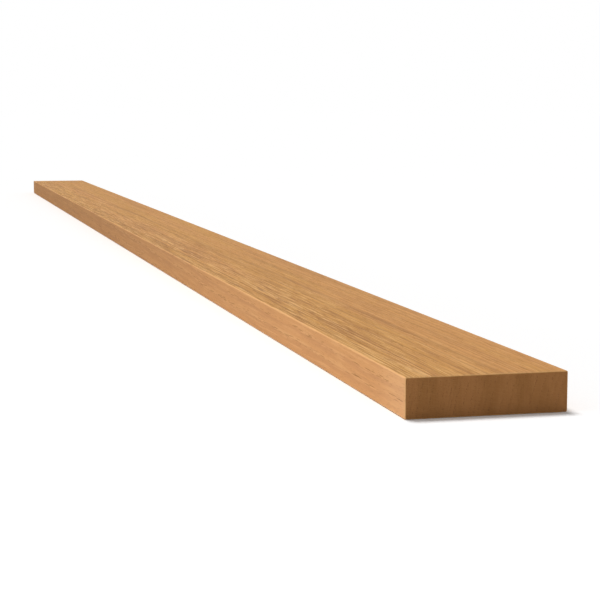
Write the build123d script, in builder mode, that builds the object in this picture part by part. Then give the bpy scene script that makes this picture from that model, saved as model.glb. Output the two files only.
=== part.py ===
# Teak plank: one straight piece of solid timber, planed on all four long faces.
# It lies flat on a wide face, as it is stored or laid: X along the grain, Y across the width, Z up.
# The origin is the middle of the underside. All sizes are in millimetres.

import os

from build123d import *

# Driving dimensions
LENGTH = 2440.0  # an 8 ft piece
WIDTH = 98.0  # planed from a 4 in wide sawn plank
THICKNESS = 24.0  # planed from 1 in thick sawn stock
ARRIS_RADIUS = 1.0  # the four long edges, eased so that they don't splinter
END_CHAMFER = 0.5  # the rim of each sawn end, after a touch of sanding

# The plank, from its left end along the grain to its right end
with BuildPart() as plank:
    # Cross section: a rectangle with eased corners, standing on the level of the underside
    with BuildSketch(Plane.YZ.offset(-LENGTH / 2)) as section:
        RectangleRounded(WIDTH, THICKNESS, ARRIS_RADIUS, align=(Align.CENTER, Align.MIN))
    extrude(amount=LENGTH)

    # Both ends are cut square, and the whole rim of each cut, arcs and all, gets its chamfer
    end_cuts = plank.faces().filter_by(Axis.X)
    chamfer(end_cuts.edges(), length=END_CHAMFER)

plank.part.label = "plank"

os.makedirs("parts", exist_ok=True)
export_step(plank.part, "parts/plank.step")
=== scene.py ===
# %% [markdown]
# # A planed teak plank
#
# The object is one straight board of solid teak. Its four long faces were planed and its two ends sawn
# square. Nothing is fixed to it, so everything that there is to see is the wood itself.
#
# Wood looks as it does because of how a tree grows: a ring each year, vessels that carry water up the
# trunk, and rays that run out from the pith. This lesson describes the tree once, as a field in space,
# and then cuts the board out of it. The grain on the top, the edges and the ends then agrees, as it
# does on real timber.
#
# Blender's unit here is the metre. The wood is described in millimetres, the unit of a timber yard.

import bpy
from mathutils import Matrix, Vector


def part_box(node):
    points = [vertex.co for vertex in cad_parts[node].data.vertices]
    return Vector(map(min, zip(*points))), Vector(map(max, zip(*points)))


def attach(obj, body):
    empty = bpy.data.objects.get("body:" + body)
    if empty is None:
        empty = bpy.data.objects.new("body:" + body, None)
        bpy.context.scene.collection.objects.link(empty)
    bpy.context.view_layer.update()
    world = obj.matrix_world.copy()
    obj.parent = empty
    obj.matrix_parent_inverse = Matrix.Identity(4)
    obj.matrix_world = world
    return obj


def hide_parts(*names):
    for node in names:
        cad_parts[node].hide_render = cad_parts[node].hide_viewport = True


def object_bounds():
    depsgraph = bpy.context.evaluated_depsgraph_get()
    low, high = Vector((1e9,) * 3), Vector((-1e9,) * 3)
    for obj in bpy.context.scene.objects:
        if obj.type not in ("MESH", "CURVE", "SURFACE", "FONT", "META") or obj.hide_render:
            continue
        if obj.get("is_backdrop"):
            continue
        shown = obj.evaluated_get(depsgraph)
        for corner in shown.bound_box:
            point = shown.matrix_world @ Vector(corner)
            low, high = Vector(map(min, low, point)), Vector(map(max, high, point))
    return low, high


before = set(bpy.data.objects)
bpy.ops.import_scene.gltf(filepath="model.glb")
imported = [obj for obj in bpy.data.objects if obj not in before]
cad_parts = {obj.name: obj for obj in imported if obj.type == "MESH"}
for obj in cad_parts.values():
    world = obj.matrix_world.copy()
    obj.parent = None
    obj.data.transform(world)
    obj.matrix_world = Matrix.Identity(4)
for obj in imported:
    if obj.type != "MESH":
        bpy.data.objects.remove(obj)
cad_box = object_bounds()
print("the measured model is", [round(side, 4) for side in cad_box[1] - cad_box[0]], "m in size")

# %% The other tools of this lesson
import math

import bmesh
import bpy
import numpy as np
from mathutils import Vector

MM = 0.001
TURN = 2 * math.pi
corner_low, corner_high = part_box("plank")
length, width, thickness = (corner_high - corner_low) / MM
print(f"the plank is {length:.0f} mm long, {width:.0f} mm wide and {thickness:.0f} mm thick")

# %% [markdown]
# ## The tree
#
# A board is a straight cut through a trunk that isn't quite straight. Rings are surfaces round the
# pith, so a point's ring follows from its distance to the pith line. The pith wanders along the trunk
# in long bends and short ones, the trunk tapers, and good and bad years make wide and narrow rings. A
# young tree also grows faster than an old one, so the rings are wider on the side of the board that was
# nearer to the pith.
#
# One could paint the rings with a noise texture. Here they are a plain sum of sine waves instead,
# because the same few numbers can then be used twice: by the mesh, which gets the relief of the rings,
# and by the material, which gets their colour. Each wave also lags a little across the board, so that
# neighbouring fibres don't bend quite alike. The pith lies beside the board and a little below it, so
# that the rings cross the thickness steeply. A sawyer calls that quarter sawn. It gives straight, quiet
# grain on the wide faces.

# %% Numbers of the tree, in mm
PITH_Y, PITH_Z = 238.0, -45.0
# Each wave has a height, a wavelength, a phase and a lag for each mm across the board.
WANDER_Y = [(2.0, 3300, 0.6, 0), (0.5, 1250, 2.1, 0.005), (0.2, 410, 4.0, 0.02), (0.1, 137, 1.0, 0.05)]
WANDER_Z = [(4.0, 2700, 1.9, 0), (1.2, 900, 0.4, 0.006), (0.3, 260, 3.1, 0.03)]
GROWTH = [(1.5, 57, 1.1, 0), (1.3, 21, 0.3, 0), (0.4, 7.3, 2.0, 0)]  # good and bad years
TAPER = 0.001
YOUTH, SLOWING = 120.0, 420.0  # a ring at a distance of YOUTH + d is SLOWING / d wide


def waves(series, along, across=0.0):
    total = 0.0
    for height, wavelength, phase, lag in series:
        total = total + height * np.sin(TURN / wavelength * along + phase + lag * across)
    return total


def ring_number(x, y, z):
    """Rings between the young tree and a point: the whole part is the year, the rest the season."""
    reach = np.hypot(y - PITH_Y - waves(WANDER_Y, x, y), z - PITH_Z - waves(WANDER_Z, x, y)) + TAPER * x
    return (reach + waves(GROWTH, reach) - YOUTH) ** 2 / (2 * SLOWING)


front_ring, middle_ring, back_ring = ring_number(0, np.array([-0.5, 0, 0.5]) * width, thickness / 2)
print(f"{front_ring - back_ring:.0f} rings across the width")
print(f"{width / 2 / (front_ring - middle_ring):.1f} mm wide in the front half")
print(f"{width / 2 / (middle_ring - back_ring):.1f} mm wide in the back half")

# %% [markdown]
# ## The blank
#
# A joiner planes the four long faces, eases the long edges with two strokes of a block plane, and takes
# the sharp rim off each sawn end. The mesh is made in the same order: a box, a bevel of four segments
# on the long edges, and a small chamfer round each end. The radius of the easing and the chamfer are
# those of the plank's measured model.

# %% Box, eased edges, chamfered ends
EASING = 1.0
CHAMFER = 0.5
TOUCHING = 1e-3  # nearer than this counts as the same place
END_X = length / 2
FACE, END = 0, 1  # material slots: long grain and end grain

bm = bmesh.new()
bmesh.ops.create_cube(bm, size=1)
bmesh.ops.scale(bm, vec=(length, width, thickness), verts=bm.verts)
bmesh.ops.translate(bm, vec=(0, 0, thickness / 2), verts=bm.verts)


def at_end(vert):
    return abs(abs(vert.co.x) - END_X) < TOUCHING


def long_edges():
    return [e for e in bm.edges if abs(e.verts[0].co.x - e.verts[1].co.x) > END_X]


def end_rims():
    return [e for e in bm.edges if abs(e.verts[0].co.x - e.verts[1].co.x) < TOUCHING]


def bevel(edges, offset, segments):
    bmesh.ops.bevel(
        bm, geom=edges, offset=offset, offset_type="OFFSET", segments=segments, profile=0.5,
        affect="EDGES", material=-1, clamp_overlap=True,
    )


bevel(long_edges(), EASING, segments=4)
bevel(end_rims(), CHAMFER, segments=1)
for face in bm.faces:
    face.material_index = END if all(at_end(v) for v in face.verts) else FACE
print(f"the blank has {len(bm.faces)} faces")

# %% [markdown]
# ## A map for the finish
#
# The finish can be baked into a picture, and the map says where each face lies on it. A plank is a
# hundred times as long as it is thick, and grain changes a hundred times faster across it than along
# it. Blender's own unwrapping would give both directions the same scale and waste most of the picture.
#
# So the long faces are unrolled like a label and stretched over most of the map. The label is
# cut in two strips, side by side, for more detail across the grain: the front edge with the top, and
# the back edge with the underside. The cuts run along the back upper edge and the front lower edge,
# which are seen least. The two ends lie side by side in the strip that is left. The map is laid while
# the blank has only a few faces, because every later cut passes it on.

# %% A walk round the section
FLAT_Y, FLAT_Z = width / 2 - EASING, thickness - EASING  # where the flat faces end
AROUND = 2 * (width + thickness - 4 * EASING) + TURN * EASING


def walk(y, z):
    """Distance walked from the front lower edge, up the front, over the top, down and back below."""
    flat_y, flat_z = min(max(y, -FLAT_Y), FLAT_Y), min(max(z, EASING), FLAT_Z)
    turned = math.atan2(z - flat_z, flat_y - y) % TURN
    if turned < math.pi - TOUCHING:
        walked = (flat_z - EASING) + (flat_y + FLAT_Y)
    else:
        walked = 3 * FLAT_Y - flat_y + (FLAT_Z - EASING) + (FLAT_Z - flat_z)
    return walked + EASING * turned


print(f"{AROUND:.1f} mm round the section")

# %% Unroll the long faces, lay the ends flat
LABEL = 0.82  # share of the map's height that the long faces take
STRIPS = 2  # the label is cut in so many, side by side
GAP = 0.006  # bare margin on the map
END_SHARE = 0.48  # share of the map's width that each end takes

map_layer = bm.loops.layers.uv.new("OFBake")
for face in bm.faces:
    centre = face.calc_center_median()
    for loop in face.loops:
        x, y, z = loop.vert.co
        if abs(centre.x) > END_X - CHAMFER + TOUCHING:
            half_middle = 0.75 if centre.x > 0 else 0.25
            u = half_middle + math.copysign(END_SHARE, centre.x) * y / width
            v = LABEL + GAP + (1 - LABEL - 2 * GAP) * z / thickness
        else:
            walked = walk(y, z)
            walked += AROUND * round((walk(centre.y, centre.z) - walked) / AROUND)
            strip = int(STRIPS * walk(centre.y, centre.z) / AROUND)
            u = (strip + 0.5) / STRIPS + (0.5 / STRIPS - GAP) * x / END_X
            v = GAP + (LABEL - 2 * GAP) * (STRIPS * walked / AROUND - strip)
        loop[map_layer].uv = (u, v)
print(f"{map_layer.name}: {LABEL:.0%} of the height for the long faces")

# %% [markdown]
# ## Saw cuts for the relief
#
# Planed wood isn't glass. The soft wood of each spring shrinks more than the hard wood of summer, so
# the faces carry a fine washboard a few hundredths of a millimetre deep. A bump texture could show it in
# a picture, but then a plank that is milled or printed from the mesh would be flat.
#
# The mesh needs columns narrower than a ring, but only few rows along the grain, where nothing changes
# fast. The blank is convex, so plain plane cuts make the columns, and one subdivision of the long edges
# makes the rows. Both leave clean four-sided faces, but for one at each corner of the two ends.

# %% Columns by plane cuts, rows by subdivision
COLUMNS, LAYERS, ROWS = 180, 38, 156  # across the width, through the thickness, along the grain


def cut(axis, places):
    normal = Vector((axis == "x", axis == "y", axis == "z"))
    for place in places:
        everything = bm.verts[:] + bm.edges[:] + bm.faces[:]
        bmesh.ops.bisect_plane(bm, geom=everything, dist=TOUCHING, plane_co=normal * place, plane_no=normal)


# The first and the last column already end where the easing starts, so those two places get no cut.
cut("y", np.linspace(-FLAT_Y, FLAT_Y, COLUMNS + 1)[1:-1])
cut("z", np.linspace(EASING, FLAT_Z, LAYERS + 1)[1:-1])
bmesh.ops.subdivide_edges(bm, edges=long_edges(), cuts=ROWS - 1)
print(f"{len(bm.faces)} faces, {sum(len(f.verts) - 2 for f in bm.faces)} triangles")

# %% [markdown]
# ## The relief
#
# Each point of a flat face sinks by the depth of its season. The same ring numbers give the washboard
# on the long faces and fine ridges on the ends, where the grooves are the same rings seen end on.
# Points sink straight into their own face and never rise, so the plank keeps its measured size. Towards
# the eased edges the relief fades, as it does under a block plane.

# %% How deep each point may sink
GROOVE = 0.03
SPRING = 0.12  # the softest wood, as a share of the year
FADE = 1.6  # the relief is whole this far from an eased edge

mesh = bpy.data.meshes.new("plank_teak")
bm.to_mesh(mesh)
bm.free()
points = np.empty(len(mesh.vertices) * 3)
mesh.vertices.foreach_get("co", points)
points = points.reshape(-1, 3)
x, y, z = points.T.copy()
depth = GROOVE * (0.5 + 0.5 * np.cos(TURN * (ring_number(x, y, z) - SPRING))) ** 2


def fade(room):
    share = np.clip(room / FADE, 0, 1)
    return share * share * (3 - 2 * share)


across, through = fade(FLAT_Y - np.abs(y)), fade(np.minimum(z - EASING, FLAT_Z - z))
print(f"grooves up to {depth.max():.3f} mm deep at {len(points)} points")

# %% Sink the spring wood on all six faces
for axis, places, share in (
    (2, (0, thickness), across),
    (1, (-width / 2, width / 2), through),
    (0, (-END_X, END_X), across * through),
):
    for place, inwards in zip(places, (1, -1)):
        on_face = np.abs(points[:, axis] - place) < TOUCHING
        points[on_face, axis] += (inwards * depth * share)[on_face]
        print(f"{'XYZ'[axis]} {place:.0f} mm: {on_face.sum()} points")
mesh.vertices.foreach_set("co", (points * MM).ravel())
mesh.update()
mesh.shade_smooth()
mesh.set_sharp_from_angle(angle=math.radians(35))

# %% [markdown]
# ## Nodes in code
#
# A material is a graph. A small helper keeps the code readable: it adds a node, fills its sockets with
# numbers or links, and hands back the first output. Effects that both finishes need are node groups
# with named sockets, built once and used in each material.


# %% A helper that builds node trees
COLUMN, ROW, IN_A_ROW = 170, 190, 12  # how the nodes are spread out in the editor


class Nodes:
    def __init__(self, tree):
        self.tree = tree

    def fill(self, socket, value):
        if isinstance(value, bpy.types.NodeSocket):
            self.tree.links.new(value, socket)
        else:
            socket.default_value = value

    def add(self, kind, sockets=None, **settings):
        node = self.tree.nodes.new(kind)
        row, column = divmod(len(self.tree.nodes), IN_A_ROW)
        node.location = (column * COLUMN, -row * ROW)
        for name, value in settings.items():
            setattr(node, name, value)
        for key, value in (sockets or {}).items():
            self.fill(node.inputs[key], value)
        return node

    def math(self, operation, *values):
        return self.add("ShaderNodeMath", dict(enumerate(values)), operation=operation).outputs[0]

    def vector(self, operation, *values):
        node = self.add("ShaderNodeVectorMath", dict(enumerate(values)), operation=operation)
        return node.outputs["Value" if operation == "LENGTH" else "Vector"]

    def split(self, vector):
        return self.add("ShaderNodeSeparateXYZ", {0: vector}).outputs

    def combine(self, x=0.0, y=0.0, z=0.0):
        return self.add("ShaderNodeCombineXYZ", {0: x, 1: y, 2: z}).outputs[0]


print("the helper knows", ", ".join(name for name in vars(Nodes) if not name.startswith("_")))

# %% [markdown]
# More helpers speak of wood rather than of nodes: a smooth step, a straight ramp, a mix of two colours,
# a coat of one colour over another where a mask asks for it, noise whose blotches have a size in
# millimetres, the sine waves of the tree, and the place of a point on the board.


# %% Helpers for masks and colours
class Wood(Nodes):
    def between(self, value, start, end, least=0.0, most=1.0):
        """A smooth step from least to most as value goes from start to end."""
        sockets = {"Value": value, "From Min": start, "From Max": end, "To Min": least, "To Max": most}
        return self.add("ShaderNodeMapRange", sockets, interpolation_type="SMOOTHSTEP").outputs[0]

    def ramp(self, share, least, most):
        """A straight line from least to most as share goes from 0 to 1."""
        return self.math("MULTIPLY_ADD", share, most - least, least)

    def mix(self, share, first, second):
        return self.add("ShaderNodeMix", {0: share, 6: first, 7: second}, data_type="RGBA").outputs[2]

    def coat(self, colour, paint, mask, most):
        """The colour under a coat of paint, as strong as most where the mask is 1."""
        return self.mix(self.math("MULTIPLY", mask, most), colour, paint)

    def noise(self, place, size, detail=2.0, roughness=0.5, least=0.0, most=1.0):
        """Noise from least to most whose blotches are about size mm long, wide and high."""
        scaled = self.vector("DIVIDE", place, size)
        sockets = {"Vector": scaled, "Scale": 1.0, "Detail": detail, "Roughness": roughness}
        value = self.add("ShaderNodeTexNoise", sockets).outputs[0]
        return value if (least, most) == (0.0, 1.0) else self.ramp(value, least, most)

    def waves(self, series, along, across=0.0, start=0.0):
        total = start
        for height, wavelength, phase, lag in series:
            late = self.math("MULTIPLY_ADD", across, lag, phase)
            angle = self.math("MULTIPLY_ADD", along, TURN / wavelength, late)
            total = self.math("MULTIPLY_ADD", self.math("SINE", angle), height, total)
        return total

    def place(self):
        """The place of a point on the board, in mm."""
        coordinates = self.add("ShaderNodeTexCoord").outputs["Object"]
        return self.vector("MULTIPLY", coordinates, (1 / MM, 1 / MM, 1 / MM))


print("for wood there are also", ", ".join(name for name in vars(Wood) if not name.startswith("_")))

# %% [markdown]
# A node group is a small graph with named inputs and outputs, and a material uses it like one node. To
# open a group means to name its sockets, and to close it means to fill its outputs.

# %% Helpers for node groups
FLOAT, VECTOR = "NodeSocketFloat", "NodeSocketVector"


def open_group(name, ins, outs):
    """A new node group, with the outputs of its input node and the inputs of its output node."""
    tree = bpy.data.node_groups.new(name, "ShaderNodeTree")
    for in_out, sockets in (("INPUT", ins), ("OUTPUT", outs)):
        for socket, kind in sockets.items():
            tree.interface.new_socket(socket, in_out=in_out, socket_type=kind)
    n = Wood(tree)
    return n, n.add("NodeGroupInput").outputs, n.add("NodeGroupOutput").inputs


def close_group(n, outputs, **values):
    for name, value in values.items():
        n.fill(outputs[name], value)
    print(f"{n.tree.name}: {len(n.tree.nodes)} nodes give {' and '.join(values)}")
    return n.tree


print(f"the sockets of a group are of kind {FLOAT} or {VECTOR}")

# %% [markdown]
# ## Straightened wood
#
# Rings, vessels, rays and fibres all follow the bends of the trunk. So the first group takes those
# bends out: it gives each point of the board its place in a tree whose pith is a straight line.
# Everything after it can then be simple and straight, and still bends with the grain.

# %% Group: straightened wood
n, given, out = open_group("Straightened wood", {"Place": VECTOR}, {"Wood": VECTOR})
along, across, up = n.split(given["Place"])
off_y = n.math("SUBTRACT", across, n.waves(WANDER_Y, along, across, PITH_Y))
off_z = n.math("SUBTRACT", up, n.waves(WANDER_Z, along, across, PITH_Z))
straightened = close_group(n, out, Wood=n.combine(along, off_y, off_z))

# %% [markdown]
# ## Growth rings
#
# This group repeats the mesh's ring numbers, node by node. Season runs from 0 in spring to 1 in autumn,
# and Tone is a random strength for each year. A little noise shakes the borders of the rings by a tenth
# of a millimetre, which the coarse mesh can't show.

# %% Group: growth rings
SHAKE_SIZE, SHAKE = (90.0, 1.6, 1.6), 0.3

n, given, out = open_group("Growth rings", {"Wood": VECTOR}, {"Season": FLOAT, "Tone": FLOAT})
along, off_y, off_z = n.split(given["Wood"])
reach = n.math("MULTIPLY_ADD", along, TAPER, n.vector("LENGTH", n.combine(y=off_y, z=off_z)))
reach = n.math("ADD", reach, n.noise(given["Wood"], SHAKE_SIZE, least=-SHAKE, most=SHAKE))
grown = n.math("SUBTRACT", n.waves(GROWTH, reach, start=reach), YOUTH)
ring = n.math("DIVIDE", n.math("MULTIPLY", grown, grown), 2 * SLOWING)
tone = n.add("ShaderNodeTexWhiteNoise", {"W": n.math("FLOOR", ring)}, noise_dimensions="1D").outputs[0]
growth_rings = close_group(n, out, Season=n.math("FRACT", ring), Tone=tone)

# %% [markdown]
# ## Vessels
#
# Teak is ring porous: wide vessels stand in rows at the start of each year, and finer ones are
# scattered through the rest. Cut lengthwise they are short dark grooves, cut across they are round
# holes. Lines could be scattered over the faces and dots over the ends, but they wouldn't meet at the
# rim. Here both come from one set of long thin blobs in space, which a Voronoi texture gives when its
# cells are stretched along the grain.

# %% Group: vessels
WIDE_VESSEL, FINE_VESSEL = (24.0, 0.62, 0.62), (13.0, 0.36, 0.36)  # mm along, across and up
FINE_RADIUS, FINE_DEPTH = 0.22, 0.6
INNER = 0.6  # the share of its radius in which a vessel has its full depth

n, given, out = open_group("Vessels", {"Wood": VECTOR, "Season": FLOAT}, {"Open": FLOAT})


def blobs(size, radius):
    cells = n.add("ShaderNodeTexVoronoi", {"Vector": n.vector("DIVIDE", given["Wood"], size), "Scale": 1.0})
    return n.between(cells.outputs["Distance"], start=radius, end=n.math("MULTIPLY", radius, INNER))


early = n.between(given["Season"], start=0.34, end=0.1)
wide = blobs(WIDE_VESSEL, n.ramp(early, least=0.1, most=0.36))
fine = n.math("MULTIPLY", blobs(FINE_VESSEL, FINE_RADIUS), FINE_DEPTH)
vessels = close_group(n, out, Open=n.math("MAXIMUM", wide, fine))

# %% [markdown]
# ## Rays
#
# Rays are thin upright ribbons of soft tissue that run from the pith to the bark, across the rings. On
# the sawn end they are pale hairs that point at the pith. On the wide faces, which lie nearly along
# them, they show as small pale flecks. The noise for them is laid out by angle and distance round the
# pith, stretched along both.

# %% Group: rays
TYPICAL_REACH = 240.0  # turns an angle round the pith into mm
RIBBON = (1.3, 0.16, 5.0)  # mm along the grain, round the pith and away from it

n, given, out = open_group("Rays", {"Wood": VECTOR}, {"Fleck": FLOAT})
along, off_y, off_z = n.split(given["Wood"])
# The pith lies on the +Y side, so the angle is measured from -Y, where it has no jump.
angle = n.math("MULTIPLY", n.math("ARCTAN2", off_z, n.math("MULTIPLY", off_y, -1.0)), TYPICAL_REACH)
ribbons = n.combine(along, angle, n.vector("LENGTH", n.combine(y=off_y, z=off_z)))
rays = close_group(n, out, Fleck=n.between(n.noise(ribbons, RIBBON, detail=1.0), start=0.52, end=0.66))

# %% [markdown]
# ## Arrises, edges and ends
#
# Arrises, the corners between two faces, are handled more than the faces. They are burnished and a
# little lighter, and that lighter colour also paints in a highlight along them. Blender can find them
# by the Pointiness of the mesh, but that depends on how fine the mesh is. How near a point is to an
# arris also follows from its place in the board, and that is used here. The group tells as well how
# near a point is to the two narrow edges and to the sawn ends, which the long grain uses for painted
# light on the narrow edges and for a paler colour near the ends.

# %% Group: arrises, edges and ends
NEAR_END_REACH = 70.0  # mm from a sawn end
RUB_AND_HIGHLIGHT_SIZE, RUB_AND_HIGHLIGHT_LEAST, RUB_AND_HIGHLIGHT_MOST = (26.0, 9.0, 9.0), 0.1, 2.4

outputs = dict.fromkeys(("Worn", "Narrow", "Dried"), FLOAT)
n, given, out = open_group("Arrises, edges and ends", {"Place": VECTOR}, outputs)
along, across, up = n.split(given["Place"])
from_edge = n.math("SUBTRACT", width / 2, n.math("ABSOLUTE", across))
from_face = n.math("SUBTRACT", thickness / 2, n.math("ABSOLUTE", n.math("SUBTRACT", up, thickness / 2)))
from_end = n.math("SUBTRACT", END_X, n.math("ABSOLUTE", along))
# Of the three distances one is zero on the surface, so the middle one of them is the distance to the arris.
least = n.math("MINIMUM", n.math("MINIMUM", from_edge, from_face), from_end)
most = n.math("MAXIMUM", n.math("MAXIMUM", from_edge, from_face), from_end)
total = n.math("ADD", n.math("ADD", from_edge, from_face), from_end)
from_arris = n.math("SUBTRACT", total, n.math("ADD", least, most))
# The pale band along each arris: burnishing, and a painted highlight along it.
rub_and_highlight_reach = n.noise(given["Place"], RUB_AND_HIGHLIGHT_SIZE, detail=3.0, least=RUB_AND_HIGHLIGHT_LEAST, most=RUB_AND_HIGHLIGHT_MOST)
worn_and_highlit = n.between(from_arris, start=rub_and_highlight_reach, end=0.3)
narrow = n.between(from_edge, start=EASING, end=0.2 * EASING)
# Near the sawn ends, where the narrow edges get a paler colour that is partly painted light.
near_end = n.between(from_end, start=NEAR_END_REACH, end=0.0)
arrises_edges_and_ends = close_group(n, out, Worn=worn_and_highlit, Narrow=narrow, Dried=near_end)

# %% [markdown]
# ## How a finish starts and ends
#
# Both finishes start with an empty graph and end in the same shader. Bare wood has no varnish that
# mirrors the room, so its specular level is far below that of paint or plastic. The relief here is
# finer than the mesh could carry: the vessels and the fibre, a tenth of a millimetre deep.


# %% Helpers for a finish
SPECULAR = 0.045


def start_finish(name):
    made = bpy.data.materials.new(name)
    made.use_nodes = True
    made.node_tree.nodes.clear()
    return made, Wood(made.node_tree)


def use(n, tree, **sockets):
    return n.add("ShaderNodeGroup", sockets, node_tree=tree).outputs


def end_finish(n, colour, roughness, height, depth):
    """The shader of bare wood. Height runs from 0 to 1, and depth says how many mm that is."""
    bump = n.add("ShaderNodeBump", {"Height": height, "Strength": 1.0, "Distance": depth * MM}).outputs[0]
    sockets = {"Base Color": colour, "Roughness": roughness, "Normal": bump, "Specular IOR Level": SPECULAR}
    shader = n.add("ShaderNodeBsdfPrincipled", sockets)
    n.add("ShaderNodeOutputMaterial", {"Surface": shader.outputs[0]})


print(f"bare wood has a specular level of {SPECULAR}")

# %% [markdown]
# ## Long grain
#
# One stretched noise texture between two browns passes for wood from afar, but close by it looks like
# printed paper, because real grain has causes and each has its own scale. So each cause gets a mask, and
# each mask lays a coat of darker or lighter teak over the last.
#
# The ground comes first. It drifts slowly between honey and rose, and some bands of it are browner. All
# of it is far longer along the grain than across it, as everything in a tree is.

# %% Long grain: the ground
HONEY, ROSE, UMBER = (0.545, 0.267, 0.064, 1), (0.555, 0.262, 0.077, 1), (0.37, 0.167, 0.046, 1)
DRIFT, BROWNING = (600.0, 28.0, 28.0), (900.0, 11.0, 11.0)

teak_face, n = start_finish("teak_long_grain")
place = n.place()
wood = use(n, straightened, Place=place)["Wood"]
drift = n.between(n.noise(wood, DRIFT, detail=3.0, roughness=0.6), start=0.4, end=0.6)
browner = n.between(n.noise(wood, BROWNING, detail=3.0), start=0.5, end=0.72)
colour = n.coat(n.mix(drift, HONEY, ROSE), UMBER, browner, most=0.6)
print(f"ground between {HONEY[:3]} and {ROSE[:3]}, browner towards {UMBER[:3]}")

# %% [markdown]
# Each year starts with a pale line and ends with a thin dark one. No line is strong all along the
# board, no two years are alike, and the wide rings towards the back edge are the quietest.

# %% Long grain: lines of the years
AUTUMN, PALE = (0.27, 0.108, 0.027, 1), (0.73, 0.43, 0.165, 1)
COMING_AND_GOING = (130.0, 5.0, 5.0)
QUIET_Y, STRONG_Y = 25.0, -40.0  # mm from the middle of the board

rings = use(n, growth_rings, Wood=wood)
season = rings["Season"]
strength = n.between(n.split(place)[1], start=QUIET_Y, end=STRONG_Y, least=0.4, most=1.6)
presence = n.math("MULTIPLY", n.between(n.noise(wood, COMING_AND_GOING), start=0.34, end=0.58), strength)
lines = n.math("MULTIPLY", presence, n.ramp(rings["Tone"], least=0.15, most=0.8))
colour = n.coat(colour, UMBER, n.between(season, start=0.1, end=1.0), most=0.3)
colour = n.coat(colour, AUTUMN, n.between(season, start=0.55, end=0.95), lines)
colour = n.coat(colour, PALE, n.between(season, start=0.3, end=0.04), lines)
print(f"lines of {AUTUMN[:3]} and {PALE[:3]}")

# %% [markdown]
# Oils and minerals stain teak along the grain, in bands as wide as a few rings and in narrow streaks.
# Like the lines, they are strongest where the rings are narrow. Between them lie the fibres, a third of
# a millimetre wide, and the small flecks of the rays. Dark and pale come in pairs here, so that the
# average colour of the board stays what the ground says.

# %% Long grain: bands, streaks, fibres and flecks
BAND, STREAK, FIBRE = (170.0, 5.0, 5.0), (50.0, 1.7, 1.7), (34.0, 0.36, 0.36)

band = n.noise(wood, BAND)
colour = n.coat(colour, AUTUMN, n.between(band, start=0.5, end=0.68, most=0.34), strength)
colour = n.coat(colour, PALE, n.between(band, start=0.48, end=0.32, most=0.2), strength)
streak = n.noise(wood, STREAK)
colour = n.coat(colour, AUTUMN, n.between(streak, start=0.54, end=0.7, most=0.5), strength)
colour = n.coat(colour, PALE, n.between(streak, start=0.46, end=0.3, most=0.46), strength)
fibre = n.noise(wood, FIBRE, detail=3.0, roughness=0.65)
colour = n.coat(colour, AUTUMN, n.between(fibre, start=0.5, end=0.3), most=0.28)
colour = n.coat(colour, PALE, n.between(fibre, start=0.52, end=0.72), most=0.28)
colour = n.coat(colour, PALE, use(n, rays, Wood=wood)["Fleck"], most=0.08)
for name, size in (("bands", BAND), ("streaks", STREAK), ("fibres", FIBRE)):
    print(f"{name} about {size[0]:.0f} mm long and {size[1]} mm wide")

# %% [markdown]
# The narrow edges are rougher than the rest, and their colour is lighter, rosier and more even:
# painted warm light, which stands in for the light that the front edge catches. Near the sawn ends
# they turn paler, which is partly bleaching where the timber dries first and partly a painted
# brightening of the light there. The open vessels are dark because light runs into them, and the
# burnished arrises are pale, which is partly the rubbing of hands and partly a painted highlight. The
# surface is matt all over, and roughest where a vessel was cut open.

# %% Long grain: painted light on the narrow edges, vessels, burnished and highlit arrises, surface
# The narrow-edge colours are painted warm light and, near the ends, a paler colour that is partly bleaching
# and partly painted light. The arris colour is burnishing and a painted highlight.
PAINTED_EDGE_LIGHT, BLEACHED_AND_LIT = (0.60, 0.306, 0.138, 1), (0.78, 0.47, 0.26, 1)
HEART, BURNISHED_AND_HIGHLIGHT = (0.17, 0.07, 0.02, 1), (0.82, 0.48, 0.21, 1)

edge_masks = use(n, arrises_edges_and_ends, Place=place)
pores = use(n, vessels, Wood=wood, Season=season)["Open"]
# Painted warm light: both narrow edges get a lighter, rosier, more even colour.
colour = n.coat(colour, PAINTED_EDGE_LIGHT, edge_masks["Narrow"], most=0.75)
# Paler near the sawn ends: partly bleaching, partly a painted brightening of the light.
colour = n.coat(colour, BLEACHED_AND_LIT, n.math("MULTIPLY", edge_masks["Narrow"], edge_masks["Dried"]), most=0.25)
colour = n.coat(colour, HEART, pores, most=0.6)
# The pale arrises: burnishing, and a painted highlight along them.
colour = n.coat(colour, BURNISHED_AND_HIGHLIGHT, edge_masks["Worn"], most=0.5)
roughness = n.ramp(fibre, least=0.5, most=0.64)
for rougher, gained in ((edge_masks["Narrow"], 0.25), (pores, 0.15)):
    roughness = n.math("MULTIPLY_ADD", rougher, gained, roughness)
height = n.math("SUBTRACT", n.ramp(fibre, least=0.0, most=0.5), pores)
end_finish(n, colour, roughness, height, depth=0.1)
print(f"{teak_face.name}: {len(n.tree.nodes)} nodes")

# %% [markdown]
# ## End grain
#
# On a sawn end the light runs into the open vessels, so the same wood is much darker there. It is
# blotchy where the oils of the heartwood gather. The rings show as faint bands and the vessels as round
# holes, hair-fine rays run out from the pith across the rings, and the saw leaves faint upright
# scratches. The groups are the same as before, so each ring of the top carries on down the end.

# %% End grain: blotches, rings and scratches
END_MID, END_DARK, END_PALE = (0.40, 0.179, 0.062, 1), (0.284, 0.125, 0.035, 1), (0.51, 0.255, 0.093, 1)
BLOTCH, SCRATCH = (60.0, 11.0, 40.0), (4.0, 0.35, 30.0)

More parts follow.
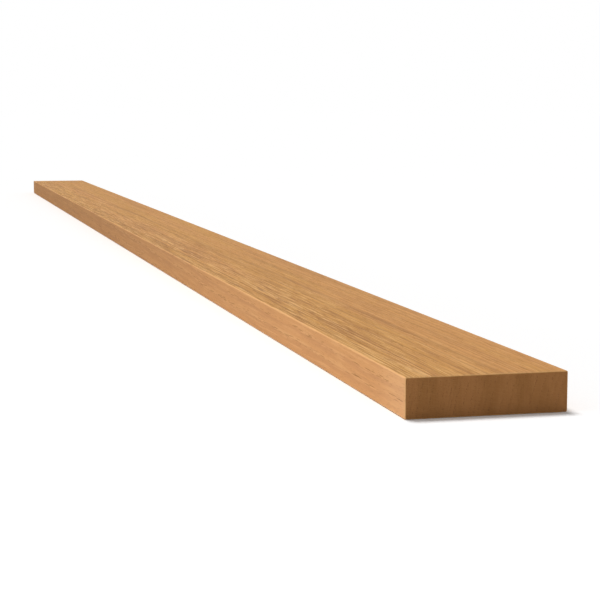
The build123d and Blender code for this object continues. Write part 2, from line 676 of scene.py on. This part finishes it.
teak_end, n = start_finish("teak_end_grain")
place = n.place()
wood = use(n, straightened, Place=place)["Wood"]
rings = use(n, growth_rings, Wood=wood)
oily = n.between(n.noise(wood, BLOTCH, detail=3.0), start=0.38, end=0.62)
colour = n.coat(END_MID, END_DARK, oily, most=0.45)
autumn = n.ramp(rings["Tone"], least=0.04, most=0.36)
colour = n.coat(colour, END_DARK, n.between(rings["Season"], start=0.3, end=1.0), autumn)
scratch = n.noise(place, SCRATCH)
colour = n.coat(colour, END_PALE, n.between(scratch, start=0.5, end=0.75), most=0.2)
print(f"end grain between {END_DARK[:3]} and {END_PALE[:3]}")

# %% End grain: rays, vessels, burnished and highlit arrises, surface
END_PORE = (0.13, 0.055, 0.018, 1)

pores = use(n, vessels, Wood=wood, Season=rings["Season"])["Open"]
colour = n.coat(colour, END_PALE, use(n, rays, Wood=wood)["Fleck"], most=0.22)
colour = n.coat(colour, END_PORE, pores, most=0.7)
# The pale rim of the sawn end: burnishing, and a painted highlight along it.
colour = n.coat(colour, END_PALE, use(n, arrises_edges_and_ends, Place=place)["Worn"], most=0.3)
roughness = n.ramp(pores, least=0.75, most=0.85)
height = n.math("SUBTRACT", n.ramp(scratch, least=0.0, most=0.4), pores)
end_finish(n, colour, roughness, height, depth=0.12)
print(f"{teak_end.name}: {len(n.tree.nodes)} nodes")

# %% [markdown]
# ## The finished piece
#
# The plank is one solid piece of wood, so it is one object. It takes the place of the plain measured
# model, which stays behind it for weight and contact. It moves with the root body, because nothing on a
# plank moves by itself.

# %% Put the plank in the scene
for finish in (teak_face, teak_end):
    mesh.materials.append(finish)
plank = bpy.data.objects.new("teak_plank", mesh)
bpy.context.scene.collection.objects.link(plank)
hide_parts("plank")
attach(plank, "root")
print(f"{plank.name}: {len(mesh.vertices)} points, {len(mesh.polygons)} faces")

# %% [markdown]
# ## Floor and world
#
# A product picture is lit plainly. The world fills the shadows. The white behind the plank comes from
# the colour of the floor and of the world as the camera sees them, and not from more light, so the teak
# keeps its own colour. The floor still takes a soft shadow.

# %% Floor
PAPER, WHITE = (0.8, 0.8, 0.8, 1), (1, 1, 1, 1)
FLOOR_SIDE = 60
FLOOR_BELOW = 0.1 * MM  # keeps the floor and the underside out of one plane


def seen(n):
    """1 where the camera, a reflection or a view through glass looks, and 0 for the light on things."""
    ray = n.add("ShaderNodeLightPath").outputs
    share = n.math("MAXIMUM", ray["Is Camera Ray"], ray["Is Glossy Ray"])
    return n.math("MAXIMUM", share, ray["Is Transmission Ray"])


bpy.ops.mesh.primitive_plane_add(size=FLOOR_SIDE, location=(0, 0, -FLOOR_BELOW))
floor = bpy.context.object
floor.name = "floor"
paper, n = start_finish("studio_paper")
shader = n.add("ShaderNodeBsdfDiffuse", {"Color": n.mix(seen(n), PAPER, WHITE)})
n.add("ShaderNodeOutputMaterial", {"Surface": shader.outputs[0]})
floor.data.materials.append(paper)
floor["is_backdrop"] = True
print(f"{floor.name}: {floor.dimensions.x:.0f} m square")

# %% World
FILL = 0.35

world = bpy.data.worlds.new("studio")
world.use_nodes = True
world.node_tree.nodes.clear()
n = Wood(world.node_tree)
brightness = n.ramp(seen(n), least=FILL, most=1.0)
sky = n.add("ShaderNodeBackground", {"Color": WHITE, "Strength": brightness})
n.add("ShaderNodeOutputWorld", {"Surface": sky.outputs[0]})
bpy.context.scene.world = world
print(f"{world.name}: looks white and lights the plank at {FILL}")

# %% [markdown]
# ## Lamps
#
# Soft light comes from above and a little from behind, and a small soft lamp stands low beside the
# front edge, near the sawn end. So the top and the front edge are bright, and the sawn end lies in half
# shade, which shows the three faces of the corner apart. The low lamp is so small that even matt wood
# would mirror it as a bright spot in the low views, so it is hidden from reflections.


# %% Lamps
def lamp(name, kind, energy, facing, place=(0, 0, 0)):
    """A lamp at place that shines from the direction facing."""
    made = bpy.data.objects.new(name, bpy.data.lights.new(name, kind))
    made.data.energy = energy
    made.location = place
    made.rotation_mode = "QUATERNION"
    made.rotation_quaternion = Vector(facing).to_track_quat("Z", "Y")
    bpy.context.scene.collection.objects.link(made)
    print(f"{name}: {kind.lower()} of strength {energy}")
    return made


above = lamp("lamp_above", "SUN", energy=2.2, facing=(-0.35, -0.1, 0.92))
above.data.angle = math.radians(20)
beside = lamp("lamp_beside", "AREA", energy=6.9, facing=(0, -1, 0), place=(1.24, -1.25, 0.17))
beside.data.shape = "RECTANGLE"
beside.data.size, beside.data.size_y = 0.4, 0.2
beside.visible_camera = beside.visible_glossy = False

# %% [markdown]
# ## Camera
#
# The camera looks along the plank from the left of its near end, low above the floor, so that the board
# runs away into the distance. The perspective depends only on where the camera stands. A long lens then
# brings the plank up to the full width of the picture.

# %% Camera
CAMERA_AT = Vector((2.0694, -0.3227, 0.1747))
LOOK_AT = Vector((0.0, 0.197, -0.082))
LENS = 97

camera = bpy.data.objects.new("camera", bpy.data.cameras.new("camera"))
camera.data.sensor_width = 36
camera.data.lens = LENS
camera.data.clip_start = 0.01
camera.location = CAMERA_AT
camera.rotation_mode = "QUATERNION"
camera.rotation_quaternion = (LOOK_AT - CAMERA_AT).to_track_quat("-Z", "Y")
bpy.context.scene.collection.objects.link(camera)
bpy.context.scene.camera = camera
bpy.context.scene.view_settings.view_transform = "Standard"
from_end = CAMERA_AT - Vector((END_X * MM, 0, thickness * MM))
print(f"{from_end.length:.2f} m from the near end, with a lens of {LENS} mm")

# %% [markdown]
# ## Sizes
#
# The last step measures the finished plank and sets it against the measured model. The relief only
# sinks into the faces, and it fades before the arrises, so the two sizes are the same.

# %% Compare the sizes
boxes = {"cad": cad_box, "visual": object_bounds()}
for name, box in boxes.items():
    print(name, [round(v / MM, 3) for v in box[1] - box[0]])
